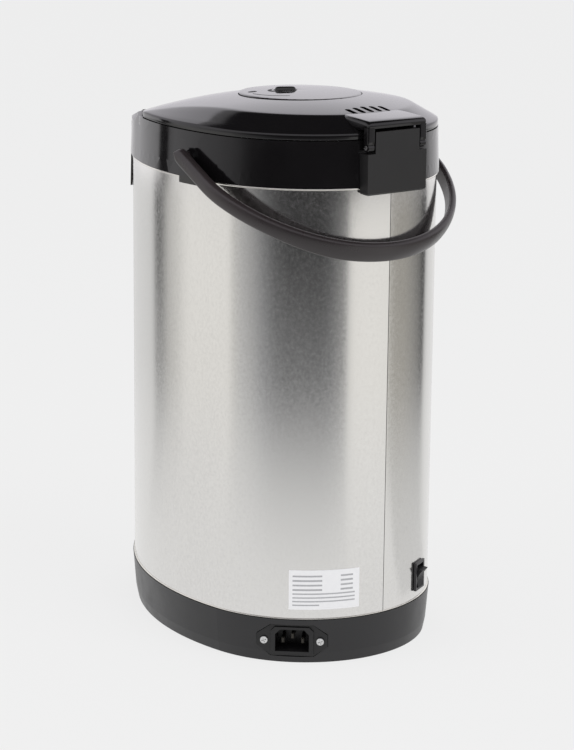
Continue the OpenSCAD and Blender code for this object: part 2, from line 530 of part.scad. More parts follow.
// ---------------------------------------------------------------- pump
module pump_housing() color([0.85, 0.85, 0.83]) at() difference() {
  union() {
    rod_z(pump_x, pump_y, 30, 44, 20);
    rod_z(pump_x, pump_y, 43, 54, 6.5);
    translate([0, pump_y - 12, 37]) rotate([90, 0, 0]) cylinder(h = 18, r = 5);
    for (s = [-1, 1]) box([s > 0 ? 18 : -28, pump_y - 5, 30], [s > 0 ? 28 : -18, pump_y + 5, 33]);
    for (s = [-1, 1]) rod_z(s * 24, pump_y, 4.3, 30.1, 4);
  }
  rod_z(pump_x, pump_y, 32, 42, 17.5);
  rod_z(pump_x, pump_y, 41, 55, 4.5);
  translate([0, pump_y - 12, 37]) rotate([90, 0, 0]) cylinder(h = 19, r = 3.5);
  rod_z(pump_x, pump_y, 29, 33, 2.05);
}
module impeller() color([0.9, 0.9, 0.88]) at() {
  rod_z(pump_x, pump_y, 33.2, 34.8, 15);
  rod_z(pump_x, pump_y, 26.5, 40, 2);
  rod_z(pump_x, pump_y, 34.7, 39, 4);
  for (k = [0:5]) translate([pump_x, pump_y, 34.7]) rotate([0, 0, 60 * k]) box([3, -0.7, 0], [14.5, 0.7, 4.5]);
}
module pump_motor() color([0.7, 0.7, 0.72]) at() difference() {
  union() { rod_z(pump_x, pump_y, 9.5, 29.95, 13.5); rod_z(pump_x, pump_y, 8.1, 9.6, 5); }
  rod_z(pump_x, pump_y, 20, 31, 2.6);
}
module suction_hose() color([0.8, 0.78, 0.72, 0.9]) at() sweep_tube([[0, -40, pot_z - 8.2], [0, -40, 48], [0, -41.5, 42], [0, -46, 37], [0, -53, 35], [0, -61, 36],
  [0, -68, 39.5], [0, -73, 45], [0, -77, 53], [0, -83, 62], [0, -90, 67], [0, -98, 67], [0, -104, 61], [0, -104, 54.2]], 5.2, 12, [1, 0, 0]);
module riser_hose() color([0.8, 0.78, 0.72, 0.9]) at() sweep_tube([[0, -134.2, 37], [0, -136.5, 37], [0, -140, 40], [0, -141, 45], [0, -141, 60], [0, -141, 74.8]], 5.2, 12, [1, 0, 0]);
module power_board() color([0.1, 0.4, 0.2]) at() {
  box([-62, -40, 20], [-18, 30, 21.6]);
  for (p = [[-58, -36], [-22, -36], [-58, 26], [-22, 26]]) rod_z(p[0], p[1], 4.3, 20, 3);
  box([-54, -20, 21.5], [-38, -2, 36]);
  box([-34, 4, 21.5], [-24, 18, 33]);
  rod_z(-46, 14, 21.5, 40, 6);
}
// three leads: inlet to board, board to heater, board up the front column
module wiring() color([0.7, 0.15, 0.1]) at() {
  sweep_tube([[40, 60, 15], [34, 50, 14], [20, 30, 13], [4, 12, 14], [-8, 3, 18], [-12, 2, 20.8], [-17.9, 2, 20.8]], 1.5, 8);
  sweep_tube([[-17.9, 12, 20.8], [-13, 12, 20.8], [-8, 18, 24], [-5, 26, 32], [-4, 29.5, 40], [-4, 29.5, pot_z - 15.2]], 1.2, 8, [0, 1, 0]);
  sweep_tube([[-30, -40.1, 20.8], [-30, -48, 20.8], [-34, -64, 20], [-36, -90, 20], [-34, -112, 24], [-27, -128, 40], [-18, -138, 70], [-16, -141, 100], [-16, -141, 180], [-16, -141, 260],
    [-16, -140, 310], [-16, -138, 335], [-16, -136, 345], [-16, -135, 350.3]], 1.4, 8, [1, 0, 0.01]);
}

base_shell();
base_plate();
rubber_feet();
base_screws();
inlet_body();
inlet_pins();
inlet_screws();
steel_jacket();
rating_label();
switch_bezel();
switch_rocker();
top_ring();
hinge_block();
hinge_pin();
head_cover();
front_panel();
gauge_window();
gauge_tube();
outlet_elbow();
spout_nozzle();
cup_lever();
lever_pin();
dispense_button();
reboil_button();
button_springs();
indicator_lenses();
control_board();
lid_shell();
lid_inner_cover();
lid_gasket();
air_valve();
bellows();
pump_spring();
pump_plate();
lock_knob();
lid_latch();
latch_spring();
handle();
handle_clips();
inner_pot();
pot_seal();
band_heater();
heater_plate();
thermostat();
thermal_fuse();
pot_bracket();
pump_housing();
pump_motor();
impeller();
suction_hose();
riser_hose();
power_board();
wiring();
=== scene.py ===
import bpy, bmesh, json, math
from mathutils import Vector, Matrix
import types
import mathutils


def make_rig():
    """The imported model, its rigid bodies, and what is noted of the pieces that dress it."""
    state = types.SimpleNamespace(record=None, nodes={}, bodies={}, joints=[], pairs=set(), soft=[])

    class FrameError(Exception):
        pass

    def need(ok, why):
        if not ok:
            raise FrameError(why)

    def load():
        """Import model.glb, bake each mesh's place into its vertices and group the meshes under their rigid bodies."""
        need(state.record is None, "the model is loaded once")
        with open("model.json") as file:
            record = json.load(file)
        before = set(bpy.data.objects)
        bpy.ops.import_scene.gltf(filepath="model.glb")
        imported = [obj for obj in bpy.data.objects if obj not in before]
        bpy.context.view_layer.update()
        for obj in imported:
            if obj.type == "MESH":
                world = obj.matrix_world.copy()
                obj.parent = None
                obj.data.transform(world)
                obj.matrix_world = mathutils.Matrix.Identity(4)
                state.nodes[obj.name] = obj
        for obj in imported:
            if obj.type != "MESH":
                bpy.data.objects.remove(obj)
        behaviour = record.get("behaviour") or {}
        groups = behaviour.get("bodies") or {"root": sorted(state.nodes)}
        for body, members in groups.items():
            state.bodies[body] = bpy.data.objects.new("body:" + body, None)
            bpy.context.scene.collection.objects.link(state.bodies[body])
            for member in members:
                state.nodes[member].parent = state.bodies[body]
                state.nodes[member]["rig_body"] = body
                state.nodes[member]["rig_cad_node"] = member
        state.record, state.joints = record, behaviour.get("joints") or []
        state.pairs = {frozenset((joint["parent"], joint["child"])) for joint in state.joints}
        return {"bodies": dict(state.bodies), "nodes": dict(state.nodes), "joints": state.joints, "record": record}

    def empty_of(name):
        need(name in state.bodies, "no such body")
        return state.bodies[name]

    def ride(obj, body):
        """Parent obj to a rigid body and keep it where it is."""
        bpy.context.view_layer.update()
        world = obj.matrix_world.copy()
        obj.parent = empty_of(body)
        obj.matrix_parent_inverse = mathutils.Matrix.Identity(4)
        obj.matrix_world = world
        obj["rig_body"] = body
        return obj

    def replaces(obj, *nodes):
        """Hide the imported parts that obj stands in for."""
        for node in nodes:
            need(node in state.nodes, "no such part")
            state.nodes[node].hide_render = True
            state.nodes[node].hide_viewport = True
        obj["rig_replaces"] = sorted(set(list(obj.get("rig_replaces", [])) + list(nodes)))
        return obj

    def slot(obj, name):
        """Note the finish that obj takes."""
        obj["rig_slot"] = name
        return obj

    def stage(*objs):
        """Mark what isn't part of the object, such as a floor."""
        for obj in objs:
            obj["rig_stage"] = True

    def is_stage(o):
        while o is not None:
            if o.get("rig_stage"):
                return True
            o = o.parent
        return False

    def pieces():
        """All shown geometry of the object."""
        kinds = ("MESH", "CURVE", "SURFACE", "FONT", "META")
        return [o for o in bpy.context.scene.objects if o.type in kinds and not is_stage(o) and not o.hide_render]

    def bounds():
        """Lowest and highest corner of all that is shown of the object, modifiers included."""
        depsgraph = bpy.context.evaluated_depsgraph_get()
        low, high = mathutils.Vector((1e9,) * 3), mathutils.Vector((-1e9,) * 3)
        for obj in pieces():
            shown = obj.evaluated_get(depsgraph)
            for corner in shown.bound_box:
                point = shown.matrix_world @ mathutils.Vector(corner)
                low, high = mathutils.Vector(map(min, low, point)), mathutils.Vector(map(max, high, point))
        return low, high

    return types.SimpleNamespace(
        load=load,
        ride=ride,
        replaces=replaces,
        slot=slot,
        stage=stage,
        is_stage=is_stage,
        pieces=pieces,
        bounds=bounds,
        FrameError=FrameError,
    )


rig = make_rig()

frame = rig.load()
CAD_BOX = [list(map(float, p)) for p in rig.bounds()]
NODES = frame["nodes"]
SC = bpy.context.scene
MM = 0.001
YS = 25.4405  # the pot's own frame is moved by this much along Y


# ------------------------------------------------------------------ camera
def make_camera():
    fwd = Vector((-0.59962, -0.76486, -0.23546)).normalized()
    right = Vector((-0.78699, 0.61697, 0.0)).normalized()
    up = right.cross(fwd)
    roll = math.radians(0.557)
    x = right * math.cos(roll) + up * math.sin(roll)
    y = -right * math.sin(roll) + up * math.cos(roll)
    z = -fwd
    cam = bpy.data.cameras.new("camera")
    cam.lens, cam.sensor_width, cam.sensor_fit = 118.98, 36.0, "AUTO"
    cam.clip_start, cam.clip_end = 0.05, 60.0
    ob = bpy.data.objects.new("camera", cam)
    SC.collection.objects.link(ob)
    m = Matrix((x, y, z)).transposed().to_4x4()
    m.translation = Vector((1.088933, 1.389014 + YS * MM, 0.611619))
    ob.matrix_world = m
    SC.camera = ob


make_camera()
SC.view_settings.view_transform = "Standard"
SC.view_settings.look = "None"
SC.view_settings.exposure = 0.0
SC.view_settings.gamma = 1.0


# ------------------------------------------------------------------ materials
def lin(v):
    v /= 255.0
    return v / 12.92 if v <= 0.04045 else ((v + 0.055) / 1.055) ** 2.4


class Tree:
    """A small helper round one material's node tree."""

    def __init__(self, name, base, rough, metallic=0.0, ior=1.5, coat=0.0, coat_rough=0.05, alpha=1.0,
                 transmission=0.0, spec=0.5, subsurface=0.0):
        m = self.m = bpy.data.materials.new(name)
        m.use_nodes = True
        m.diffuse_color = (*base, 1.0)
        nt = self.nt = m.node_tree
        nt.nodes.clear()
        self.out = nt.nodes.new("ShaderNodeOutputMaterial")
        b = self.b = nt.nodes.new("ShaderNodeBsdfPrincipled")
        nt.links.new(b.outputs[0], self.out.inputs[0])
        b.inputs["Base Color"].default_value = (*base, 1.0)
        b.inputs["Roughness"].default_value = rough
        b.inputs["Metallic"].default_value = metallic
        b.inputs["IOR"].default_value = ior
        b.inputs["Coat Weight"].default_value = coat
        b.inputs["Coat Roughness"].default_value = coat_rough
        b.inputs["Alpha"].default_value = alpha
        b.inputs["Transmission Weight"].default_value = transmission
        b.inputs["Specular IOR Level"].default_value = spec
        b.inputs["Subsurface Weight"].default_value = subsurface
        self.tc = nt.nodes.new("ShaderNodeTexCoord")
        self.normal = None

    def coords(self, scale=(1, 1, 1), rot=(0, 0, 0)):
        n = self.nt.nodes.new("ShaderNodeMapping")
        n.inputs["Scale"].default_value = scale
        n.inputs["Rotation"].default_value = rot
        self.nt.links.new(self.tc.outputs["Object"], n.inputs["Vector"])
        return n.outputs[0]

    def noise(self, scale, detail=3.0, rough=0.5, stretch=(1, 1, 1), dist=0.0):
        n = self.nt.nodes.new("ShaderNodeTexNoise")
        n.inputs["Scale"].default_value = scale
        n.inputs["Detail"].default_value = detail
        n.inputs["Roughness"].default_value = rough
        n.inputs["Distortion"].default_value = dist
        self.nt.links.new(self.coords(stretch), n.inputs["Vector"])
        return n.outputs["Fac"]

    def voronoi(self, scale, feature="F1", stretch=(1, 1, 1), rand=1.0):
        n = self.nt.nodes.new("ShaderNodeTexVoronoi")
        n.feature = feature
        n.inputs["Scale"].default_value = scale
        n.inputs["Randomness"].default_value = rand
        self.nt.links.new(self.coords(stretch), n.inputs["Vector"])
        return n.outputs["Distance"]

    def map(self, fac, a, b, c, d):
        n = self.nt.nodes.new("ShaderNodeMapRange")
        n.inputs["From Min"].default_value = a
        n.inputs["From Max"].default_value = b
        n.inputs["To Min"].default_value = c
        n.inputs["To Max"].default_value = d
        self.nt.links.new(fac, n.inputs["Value"])
        return n.outputs[0]

    def ramp(self, fac, stops, interpolation="LINEAR"):
        n = self.nt.nodes.new("ShaderNodeValToRGB")
        n.color_ramp.interpolation = interpolation
        e = n.color_ramp.elements
        while len(e) < len(stops):
            e.new(0.5)
        for k, (p, col) in zip(e, stops):
            k.position = p
            k.color = (*col, 1.0)
        self.nt.links.new(fac, n.inputs[0])
        return n.outputs[0]

    def math(self, op, a, b):
        n = self.nt.nodes.new("ShaderNodeMath")
        n.operation = op
        for i, v in enumerate((a, b)):
            if isinstance(v, (int, float)):
                n.inputs[i].default_value = v
            else:
                self.nt.links.new(v, n.inputs[i])
        return n.outputs[0]

    def mix(self, fac, a, b):
        n = self.nt.nodes.new("ShaderNodeMix")
        n.data_type = "RGBA"
        self.nt.links.new(fac, n.inputs[0])
        for s, v in ((6, a), (7, b)):
            if isinstance(v, tuple):
                n.inputs[s].default_value = (*v, 1.0)
            else:
                self.nt.links.new(v, n.inputs[s])
        return n.outputs[2]

    def set(self, socket, link):
        self.nt.links.new(link, self.b.inputs[socket])
        return self

    def bump(self, fac, distance, strength=1.0):
        n = self.nt.nodes.new("ShaderNodeBump")
        n.inputs["Strength"].default_value = strength
        n.inputs["Distance"].default_value = distance
        self.nt.links.new(fac, n.inputs["Height"])
        if self.normal is not None:
            self.nt.links.new(self.normal, n.inputs["Normal"])
        self.normal = n.outputs[0]
        self.nt.links.new(self.normal, self.b.inputs["Normal"])
        return self


def shade(c, k):
    return tuple(max(0.0, min(1.0, v * k)) for v in c)


def plastic(name, base, rough, grain=0.00002, grain_scale=1800, vary=0.25, rough_vary=0.06, ior=1.5, coat=0.0):
    """Moulded plastic: slow tone change, fine grain in roughness and in the surface."""
    t = Tree(name, base, rough, ior=ior, coat=coat)
    slow = t.noise(9, 2, 0.5)
    fine = t.noise(grain_scale, 2, 0.6)
    t.set("Base Color", t.mix(t.map(slow, 0.3, 0.7, 0.0, 1.0), shade(base, 1 - vary), shade(base, 1 + vary)))
    t.set("Roughness", t.map(t.noise(60, 4, 0.6), 0.3, 0.7, max(0.02, rough - rough_vary), rough + rough_vary))
    if grain:
        t.bump(fine, grain)
    return t.m


def metal(name, base, rough, stretch=(1, 1, 1), scale=900, rough_vary=0.08, bump=0.00001, vary=0.06):
    t = Tree(name, base, rough, metallic=1.0)
    streak = t.noise(scale, 3, 0.6, stretch)
    slow = t.noise(14, 3, 0.5)
    t.set("Base Color", t.mix(t.map(slow, 0.3, 0.7, 0, 1), shade(base, 1 - vary), shade(base, 1 + vary)))
    t.set("Roughness", t.map(streak, 0.3, 0.7, max(0.03, rough - rough_vary), rough + rough_vary))
    if bump:
        t.bump(streak, bump)
    return t.m


def steel_material():
    """Jacket steel: satin sheet with a faint hairline along its rolling direction and a fine speckle."""
    t = Tree("steel_sheet", (0.76, 0.75, 0.73), 0.2, metallic=1.0)
    speck = t.noise(520, 2, 0.7, (1, 1, 0.8))
    cloud = t.noise(7, 3, 0.55, (1, 1, 0.45))
    hair = t.noise(1400, 2, 0.6, (1, 1, 0.03))
    tone = t.math("ADD", t.math("MULTIPLY", speck, 0.55), t.math("MULTIPLY", cloud, 0.45))
    t.set("Base Color", t.ramp(tone, [(0.3, (0.70, 0.69, 0.675)), (0.5, (0.76, 0.75, 0.732)), (0.72, (0.80, 0.793, 0.775))]))
    r = t.math("ADD", t.map(speck, 0.3, 0.72, 0.11, 0.21), t.map(cloud, 0.3, 0.7, -0.02, 0.03))
    t.set("Roughness", r)
    t.bump(speck, 0.000012, 0.6)
    t.bump(hair, 0.000003, 0.5)
    return t.m


def gloss_material():
    t = Tree("gloss_black", (0.0055, 0.005, 0.0055), 0.09, ior=1.5)
    slow = t.noise(11, 3, 0.5)
    t.set("Base Color", t.mix(t.map(slow, 0.3, 0.7, 0, 1), (0.0042, 0.0038, 0.0042), (0.0075, 0.0068, 0.0075)))
    t.set("Roughness", t.map(t.noise(45, 5, 0.65), 0.35, 0.7, 0.06, 0.13))
    t.bump(t.noise(26, 2, 0.4), 0.00006, 0.35)
    return t.m


def label_material():
    """White sticker with plain grey ruled lines, laid out in its own upright frame."""
    t = Tree("label_white", (0.93, 0.93, 0.94), 0.45, ior=1.45, coat=0.15, coat_rough=0.2)
    sep = t.nt.nodes.new("ShaderNodeSeparateXYZ")
    t.nt.links.new(t.tc.outputs["Object"], sep.inputs[0])
    ang = t.math("ARCTAN2", t.math("SUBTRACT", sep.outputs["Y"], (21.5 + YS) * MM), sep.outputs["X"])
    u = t.map(ang, math.radians(45.3), math.radians(77.1), 0.0, 1.0)
    v = t.map(sep.outputs["Z"], 0.0695, 0.0405, 0.0, 1.0)
    white, grey = (0.0, 0.0, 0.0), (1.0, 1.0, 1.0)

    def rows(tops, h):
        stops = [(0.0, white)]
        for y in tops:
            stops += [(y, grey), (y + h, white)]
        return t.ramp(v, stops, "CONSTANT")

    two = rows((0.13, 0.245, 0.36, 0.475), 0.045)
    full = rows((0.585, 0.68, 0.775), 0.035)
    last = rows((0.87,), 0.035)
    c2 = t.ramp(u, [(0.0, white), (0.05, grey), (0.46, white), (0.72, grey), (0.90, white)], "CONSTANT")
    c1 = t.ramp(u, [(0.0, white), (0.05, grey), (0.93, white)], "CONSTANT")
    c0 = t.ramp(u, [(0.0, white), (0.05, grey), (0.42, white)], "CONSTANT")
    ink = t.math("MAXIMUM", t.math("MULTIPLY", two, c2), t.math("MAXIMUM", t.math("MULTIPLY", full, c1), t.math("MULTIPLY", last, c0)))
    paper = t.noise(300, 3, 0.6)
    sheet = t.mix(t.map(paper, 0.3, 0.7, 0, 1), (0.915, 0.915, 0.93), (0.95, 0.95, 0.96))
    ink = t.math("MULTIPLY", ink, t.map(t.noise(2600, 2, 0.6), 0.3, 0.6, 0.7, 1.0))
    t.set("Base Color", t.mix(ink, sheet, (0.40, 0.40, 0.42)))
    t.bump(paper, 0.00001, 0.5)
    return t.m


def floor_material():
    m = bpy.data.materials.new("studio_floor")
    m.use_nodes = True
    nt = m.node_tree
    nt.nodes.clear()
    out = nt.nodes.new("ShaderNodeOutputMaterial")
    add = nt.nodes.new("ShaderNodeAddShader")
    dif = nt.nodes.new("ShaderNodeBsdfDiffuse")
    emi = nt.nodes.new("ShaderNodeEmission")
    noise = nt.nodes.new("ShaderNodeTexNoise")
    noise.inputs["Scale"].default_value = 6
    ramp = nt.nodes.new("ShaderNodeValToRGB")
    ramp.color_ramp.elements[0].color = (0.108, 0.108, 0.108, 1)
    ramp.color_ramp.elements[1].color = (0.112, 0.112, 0.112, 1)
    nt.links.new(noise.outputs["Fac"], ramp.inputs[0])
    nt.links.new(ramp.outputs[0], dif.inputs["Color"])
    emi.inputs["Color"].default_value = (1, 1, 1, 1)
    emi.inputs["Strength"].default_value = 0.778
    nt.links.new(dif.outputs[0], add.inputs[0])
    nt.links.new(emi.outputs[0], add.inputs[1])
    nt.links.new(add.outputs[0], out.inputs[0])
    return m


MATS = {
    "steel": steel_material(),
    "gloss": gloss_material(),
    "satin": plastic("satin_black", (0.0118, 0.0113, 0.0125), 0.36, 0.00003, 1500, 0.2, 0.05),
    "base": plastic("base_plate_black", (0.02, 0.02, 0.02), 0.55, 0.00004, 1200),
    "fitting": plastic("fitting_black", (0.018, 0.017, 0.019), 0.34, 0.00003, 1700),
    "rocker": plastic("rocker_black", (0.010, 0.010, 0.011), 0.5, 0.00002, 1500, 0.2, 0.05, ior=1.33),
    "inlet": plastic("inlet_black", (0.0085, 0.0082, 0.0088), 0.33, 0.00002, 1700, 0.15, 0.05, ior=1.46),
    "knob": plastic("knob_black", (0.008, 0.008, 0.008), 0.16, 0.00001, 1500, 0.2, 0.04),
    "hinge": plastic("hinge_grey_black", (0.0075, 0.0071, 0.0073), 0.36, 0.00003, 1600, 0.15, 0.05),
    "handle": plastic("handle_brown_black", (0.024, 0.0185, 0.0195), 0.30, 0.00002, 1300, 0.18, 0.06),
    "pot": metal("pot_steel", (0.66, 0.65, 0.63), 0.3, (1, 1, 0.05)),
    "screw": metal("screw_steel", (0.66, 0.66, 0.66), 0.26, (1, 1, 1), 700),
    "contact": metal("contact_metal", (0.06, 0.056, 0.05), 0.42, (1, 1, 1), 900),
    "spring": metal("spring_steel", (0.55, 0.55, 0.56), 0.3, (1, 1, 1), 900),
    "label": label_material(),
    "silicone": plastic("silicone", (0.62, 0.61, 0.57), 0.45, 0.00002, 900, 0.08, 0.08, ior=1.42),
    "rubber": plastic("foot_rubber", (0.03, 0.03, 0.03), 0.7, 0.00005, 1300, 0.25, 0.08),
    "button": plastic("button_grey", (0.30, 0.31, 0.33), 0.35, 0.00002, 1600, 0.06),
    "board": plastic("board_green", (0.03, 0.14, 0.06), 0.35, 0.00003, 500, 0.25),
    "heater": metal("heater_metal", (0.55, 0.52, 0.44), 0.4, (1, 1, 0.1)),
    "white": plastic("white_plastic", (0.70, 0.69, 0.66), 0.4, 0.00002, 1300, 0.05),
    "motor": metal("motor_can", (0.6, 0.6, 0.61), 0.3, (1, 1, 0.1)),
    "lead": plastic("lead_red", (0.45, 0.03, 0.02), 0.4, 0.00002, 900, 0.12),
}


def clear_material():
    t = Tree("clear_plastic", (0.88, 0.92, 0.93), 0.06, ior=1.49, transmission=0.9)
    t.set("Roughness", t.map(t.noise(80, 4, 0.6), 0.3, 0.7, 0.04, 0.1))
    t.set("Base Color", t.mix(t.noise(12, 2), (0.84, 0.89, 0.9), (0.92, 0.95, 0.96)))
    return t.m


def lens_material():
    t = Tree("lens_amber", (0.75, 0.22, 0.05), 0.12, ior=1.49, transmission=0.35)
    t.set("Base Color", t.mix(t.noise(40, 2), (0.62, 0.15, 0.03), (0.85, 0.3, 0.08)))
    t.set("Roughness", t.map(t.noise(200, 3), 0.3, 0.7, 0.08, 0.18))
    return t.m


MATS["clear"] = clear_material()
MATS["lens"] = lens_material()

SLOT_MAT = {
    "steel_jacket": "steel", "gloss_black": "gloss", "satin_black": "satin", "base_black": "base", "fitting_black": "fitting",
    "rocker_black": "rocker", "knob_black": "knob", "hinge_grey": "hinge", "handle_brown": "handle", "pot_steel": "pot",
    "screw_steel": "screw", "contact_metal": "contact", "spring_steel": "spring", "label_white": "label",
    "silicone": "silicone", "foot_rubber": "rubber", "clear_plastic": "clear", "lens_amber": "lens", "button_grey": "button",
    "board_green": "board", "heater_metal": "heater", "white_plastic": "white", "motor_can": "motor", "lead_red": "lead",
}
for ob in NODES.values():
    for s in ob.material_slots:
        key = s.material.name.split(".")[0] if s.material else ""
        if key in SLOT_MAT:
            s.material = MATS[SLOT_MAT[key]]


# ------------------------------------------------------------------ modelled pieces
def R3(x, y, z):
    """Pot frame in mm to the shared frame in metres."""
    return Vector((x * MM, (y + YS) * MM, z * MM))


def cosd(a):
    return math.cos(math.radians(a))


def sind(a):
    return math.sin(math.radians(a))


REAR_R, REAR_Y, FLANK_R = 91.7, 21.5, 204.5
C3X = -(FLANK_R - REAR_R) * cosd(10)
C3Y = REAR_Y - (FLANK_R - REAR_R) * sind(10)
FRONT_R = FLANK_R + C3X / cosd(42)
FRONT_Y = C3Y - (FLANK_R - FRONT_R) * sind(42)
STATIONS = ([10 + 2.0 * i for i in range(80)] + [170 + 1.3 * i for i in range(40)] + [222 + 3.0 * i for i in range(32)]
            + [-42 + 1.3 * i for i in range(40)])


def outline(t, d=0.0):
    t = (t + 90.0) % 360.0 - 90.0
    if 10 <= t <= 170:
        cx, cy, q = 0.0, REAR_Y, REAR_R
    elif -42 < t < 10:
        cx, cy, q = C3X, C3Y, FLANK_R
    elif 170 < t < 222:
        cx, cy, q = -C3X, C3Y, FLANK_R
    else:
        cx, cy, q = 0.0, FRONT_Y, FRONT_R
    return cx + (q + d) * cosd(t), cy + (q + d) * sind(t)


def add_piece(name, bm, mat, body, slot_name, nodes=(), sharp=32.0, recalc=True):
    """Makes an object of bm and hangs it on its body."""
    bmesh.ops.remove_doubles(bm, verts=bm.verts, dist=1e-7)
    if recalc:
        bmesh.ops.recalc_face_normals(bm, faces=bm.faces)
    me = bpy.data.meshes.new(name)
    bm.to_mesh(me)
    bm.free()
    me.polygons.foreach_set("use_smooth", [True] * len(me.polygons))
    me.set_sharp_from_angle(angle=math.radians(sharp))
    me.materials.append(MATS[mat])
    ob = bpy.data.objects.new(name, me)
    SC.collection.objects.link(ob)
    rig.ride(ob, body)
    if nodes:
        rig.replaces(ob, *nodes)
    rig.slot(ob, slot_name)
    return ob


def loft(bm, rings, wrap=False, cap=True):
    """Quads between rings of equal length; wrap joins the last ring to the first."""
    vs = [[bm.verts.new(p) for p in r] for r in rings]
    n, m = len(rings[0]), len(rings)
    for k in range(m if wrap else m - 1):
        a, b = vs[k], vs[(k + 1) % m]
        for i in range(n):
            j = (i + 1) % n
            bm.faces.new((a[i], a[j], b[j], b[i]))
    if not wrap and cap:
        bm.faces.new(vs[0][::-1])
        bm.faces.new(vs[-1])
    return vs


def superellipse(n, a, b, e):
    """n points of a rounded rectangle with half sides a and b."""
    out = []
    for i in range(n):
        t = 2 * math.pi * (i + 0.5) / n
        c, s = math.cos(t), math.sin(t)
        out.append((a * math.copysign(abs(c) ** (2 / e), c), b * math.copysign(abs(s) ** (2 / e), s)))
    return out


def rounded_rect(a, b, r, k=4):
    """Rectangle with half sides a and b and corner radius r, k steps to a corner."""
    r = min(r, a * 0.98, b * 0.98)
    out = []
    for cx, cy, t0 in ((a - r, b - r, 0), (r - a, b - r, 90), (r - a, r - b, 180), (a - r, r - b, 270)):
        for i in range(k + 1):
            out.append((cx + r * cosd(t0 + 90 * i / k), cy + r * sind(t0 + 90 * i / k)))
    return out


def rounded_copy(name, node, mat, body, slot_name, width, keep=None, angle=28.0, seg=3, sharp=32.0):
    """The node's own shape with its sharp edges rounded off; the node stays as it is if that can't be closed."""
    src = NODES[node]
    bm = bmesh.new()
    bm.from_mesh(src.data)
    bm.transform(src.matrix_world)
    bmesh.ops.remove_doubles(bm, verts=bm.verts, dist=2e-6)
    bmesh.ops.dissolve_limit(bm, angle_limit=math.radians(0.04), verts=bm.verts, edges=bm.edges)
    bm.edges.ensure_lookup_table()
    es = [e for e in bm.edges if len(e.link_faces) == 2 and e.calc_face_angle(0) > math.radians(angle)
          and (keep is None or keep((e.verts[0].co + e.verts[1].co) * 500 - Vector((0, YS, 0))))]
    try:
        bmesh.ops.bevel(bm, geom=es, offset=width * MM, offset_type="OFFSET", segments=seg, profile=0.5, affect="EDGES",
                        clamp_overlap=True, harden_normals=False)
    except Exception:
        bm.free()
        return None
    bmesh.ops.remove_doubles(bm, verts=bm.verts, dist=1e-6)
    bmesh.ops.dissolve_degenerate(bm, dist=1e-6, edges=bm.edges)
    bmesh.ops.triangulate(bm, faces=[f for f in bm.faces if len(f.verts) > 4])
    if any(len(e.link_faces) != 2 for e in bm.edges):
        print("LEFT AS IT IS:", node)
        bm.free()
        return None
    ob = add_piece(name, bm, mat, body, slot_name, (node,), sharp)
    wn = ob.modifiers.new("weighted", "WEIGHTED_NORMAL")
    wn.mode, wn.weight, wn.keep_sharp = "FACE_AREA", 70, True
    return ob


# ---- lid: dome, sloping band, rounded rim and slots as one closed shell; the arm and legs as a piece of their own
LID_R, LID_Y, DOME_R, DOME_Y, DOME_TOP = 96.1, -15.4, 395.0, 19.0, 394.5
PLATE_R, PLATE_Y = 43.5, 12.0


def dome_z(x, y):
    return DOME_TOP - DOME_R + math.sqrt(DOME_R * DOME_R - x * x - (y - DOME_Y) ** 2)


def lid_edge(t, d):
    x, y = outline(t, d)
    if y < -55.0:
        vx, vy = x, y - LID_Y
        q = math.hypot(vx, vy)
        r = LID_R + min(0.0, d - 0.2)
        if q > r:
            x, y = vx * r / q, LID_Y + vy * r / q
    return x, y


def lid_z(x, y, d):
    return min(377.0 + (0.2 - d) * 19.0 / 34.0, dome_z(x, y))


def crease_d(t):
    lo, hi = -45.0, 0.2
    for _ in range(30):
        mid = (lo + hi) / 2
        x, y = lid_edge(t, mid)
        if 377.0 + (0.2 - mid) * 19.0 / 34.0 > dome_z(x, y):
            lo = mid
        else:
            hi = mid
    return min(lo, -7.0)


